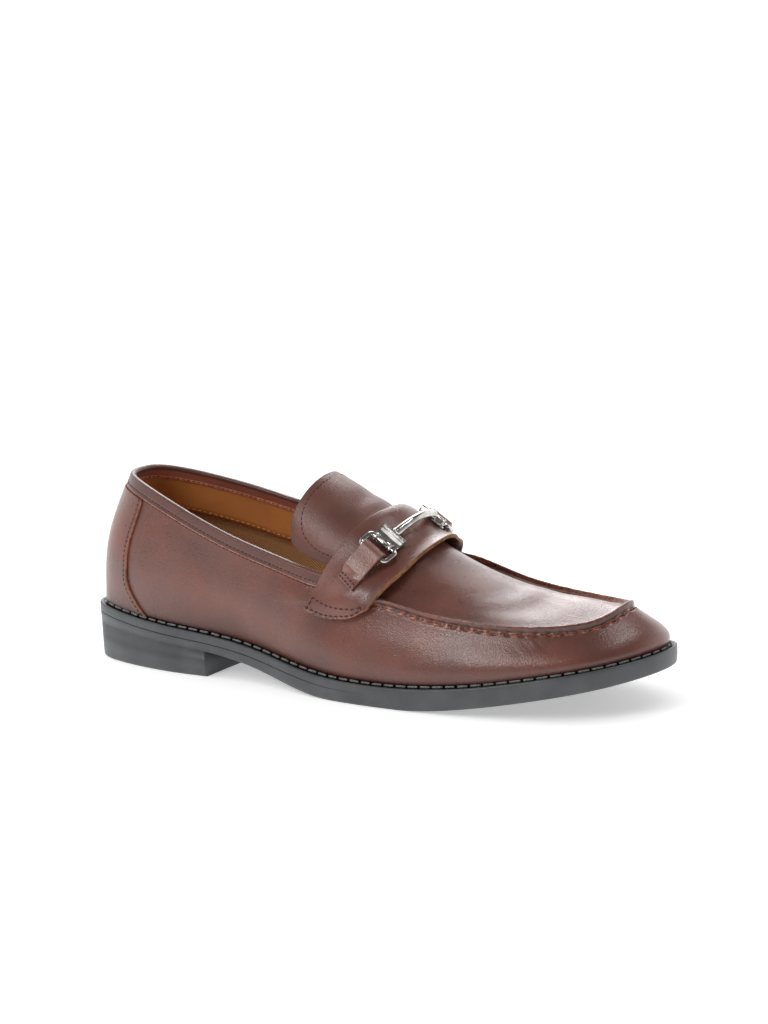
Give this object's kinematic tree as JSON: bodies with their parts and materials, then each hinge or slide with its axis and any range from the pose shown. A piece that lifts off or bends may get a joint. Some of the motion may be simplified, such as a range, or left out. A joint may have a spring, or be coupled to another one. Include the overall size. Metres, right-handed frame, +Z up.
{
  "type": "bit loafer",
  "caption": "Slip-on leather loafer for the right foot: apron toe with raised seam, instep strap with a metal bit, standing tongue, welted rubber sole and low block heel.",
  "frame": {"origin": "on the floor under the middle of the shoe's bounding box", "axes": "+X from heel to toe, +Z up, +Y towards the inner side of the right foot, so the outer side is -Y"},
  "size_m": [0.3085, 0.1033, 0.099],
  "materials": {
    "outsole": "satin",
    "welt": "satin",
    "heel": "satin",
    "insole": "woven",
    "upper": "polished",
    "tongue": "polished",
    "collar_binding": "polished",
    "back_counter": "polished",
    "strap": "polished",
    "tab_outer": "polished",
    "tab_inner": "polished",
    "bit_bar": "polished",
    "bit_end_outer": "polished",
    "bit_end_inner": "polished",
    "bit_ring_outer": "polished",
    "bit_ring_inner": "polished"
  },
  "bodies": {
    "root": {"outsole": "outsole", "welt": "welt", "heel": "heel", "insole": "insole", "upper": "upper", "tongue": "tongue", "collar_binding": "collar_binding", "back_counter": "back_counter", "strap": "strap", "tab_outer": "tab_outer", "tab_inner": "tab_inner", "bit_bar": "bit_bar", "bit_end_outer": "bit_end_outer", "bit_end_inner": "bit_end_inner", "bit_ring_outer": "bit_ring_outer", "bit_ring_inner": "bit_ring_inner"}
  },
  "joints": []
}
